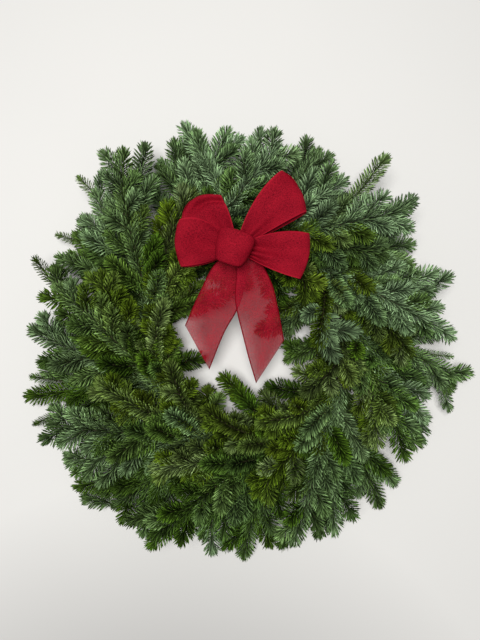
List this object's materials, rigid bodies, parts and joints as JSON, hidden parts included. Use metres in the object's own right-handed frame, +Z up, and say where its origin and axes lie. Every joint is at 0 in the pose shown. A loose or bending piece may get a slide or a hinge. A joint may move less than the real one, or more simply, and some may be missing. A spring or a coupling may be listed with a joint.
{
  "type": "fresh evergreen wreath",
  "caption": "Round wreath of cut fir sprays clamped on a double-rail wire ring, lying face up, with a wide sheer ribbon bow wired to its top and two tails over the hole.",
  "frame": {"origin": "middle of the wreath's box, on the surface that it lies on", "axes": "+Z up out of the wreath's face, +Y towards the bow at the top of the wreath, +X to the right as seen from the front"},
  "size_m": [0.6424, 0.617, 0.1287],
  "materials": {
    "fir_deep_green": "fresh fir needles, satin",
    "fir_blue_green": "fresh fir needles with a pale waxy bloom",
    "fir_olive_green": "fresh fir needles, warm green",
    "green_wire": "dark green painted steel wire",
    "red_ribbon": "sheer woven ribbon with wired edges"
  },
  "bodies": {
    "root": {"bow_centre_loop": "red_ribbon", "bow_loops": "red_ribbon", "bow_tails": "red_ribbon", "bow_tie_wire": "green_wire", "bunch_1_crest": "fir_blue_green", "bunch_1_inner": "fir_deep_green", "bunch_1_inner_crest": "fir_olive_green", "bunch_1_outer_high": "fir_blue_green", "bunch_1_outer_low": "fir_deep_green", "bunch_1_outer_top": "fir_blue_green", "bunch_2_crest": "fir_olive_green", "bunch_2_inner": "fir_deep_green", "bunch_2_inner_crest": "fir_olive_green", "bunch_2_outer_high": "fir_blue_green", "bunch_2_outer_low": "fir_deep_green", "bunch_2_outer_top": "fir_blue_green", "bunch_3_crest": "fir_olive_green", "bunch_3_inner": "fir_deep_green", "bunch_3_inner_crest": "fir_olive_green", "bunch_3_outer_high": "fir_blue_green", "bunch_3_outer_low": "fir_deep_green", "bunch_3_outer_top": "fir_deep_green", "bunch_4_crest": "fir_olive_green", "bunch_4_inner": "fir_deep_green", "bunch_4_inner_crest": "fir_olive_green", "bunch_4_outer_high": "fir_blue_green", "bunch_4_outer_low": "fir_deep_green", "bunch_4_outer_top": "fir_deep_green", "bunch_5_crest": "fir_olive_green", "bunch_5_inner": "fir_deep_green", "bunch_5_inner_crest": "fir_olive_green", "bunch_5_outer_high": "fir_blue_green", "bunch_5_outer_low": "fir_deep_green", "bunch_5_outer_top": "fir_deep_green", "bunch_6_crest": "fir_olive_green", "bunch_6_inner": "fir_deep_green", "bunch_6_inner_crest": "fir_olive_green", "bunch_6_outer_high": "fir_blue_green", "bunch_6_outer_low": "fir_deep_green", "bunch_6_outer_top": "fir_blue_green", "bunch_7_crest": "fir_olive_green", "bunch_7_inner": "fir_deep_green", "bunch_7_inner_crest": "fir_olive_green", "bunch_7_outer_high": "fir_blue_green", "bunch_7_outer_low": "fir_deep_green", "bunch_7_outer_top": "fir_deep_green", "bunch_8_crest": "fir_olive_green", "bunch_8_inner": "fir_deep_green", "bunch_8_inner_crest": "fir_olive_green", "bunch_8_outer_high": "fir_blue_green", "bunch_8_outer_low": "fir_deep_green", "bunch_8_outer_top": "fir_deep_green", "bunch_9_crest": "fir_blue_green", "bunch_9_inner": "fir_deep_green", "bunch_9_inner_crest": "fir_olive_green", "bunch_9_outer_high": "fir_blue_green", "bunch_9_outer_low": "fir_deep_green", "bunch_9_outer_top": "fir_blue_green", "clamp_ring": "green_wire"}
  },
  "joints": []
}
